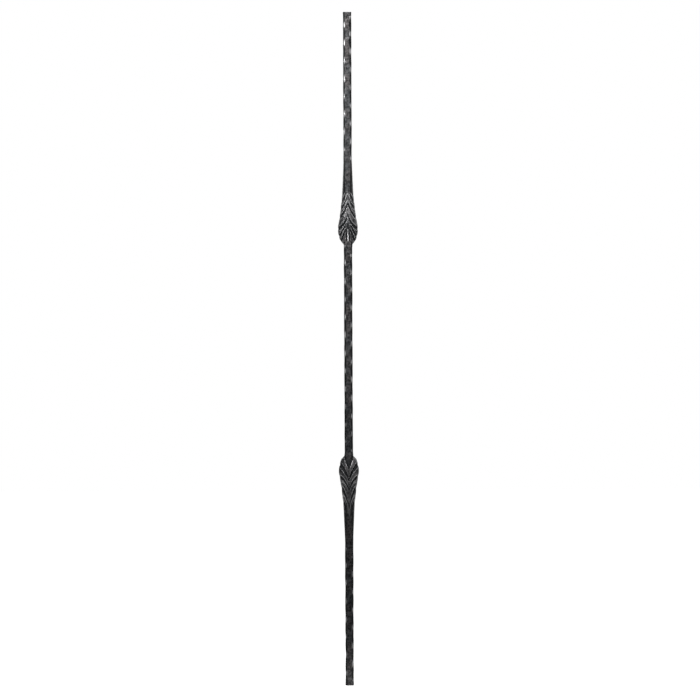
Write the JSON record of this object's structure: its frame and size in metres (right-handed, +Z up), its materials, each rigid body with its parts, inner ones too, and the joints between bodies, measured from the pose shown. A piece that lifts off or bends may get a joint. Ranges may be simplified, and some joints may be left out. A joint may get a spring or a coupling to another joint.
{
  "type": "straight baluster",
  "caption": "Upright square steel stair baluster with hammered edges and two carved leaf swellings whose broad ends face each other, fixed between tread and handrail.",
  "frame": {"origin": "middle of the sawn bottom end", "axes": "+Z up along the bar to the top end, -Y out of the leaves' front, +X to the right seen from the front"},
  "size_m": [0.03, 0.024, 1],
  "materials": {
    "forged_steel": "dark forge scale, satin, rubbed brighter on the ridges"
  },
  "bodies": {
    "root": {"baluster": "forged_steel"}
  },
  "joints": []
}
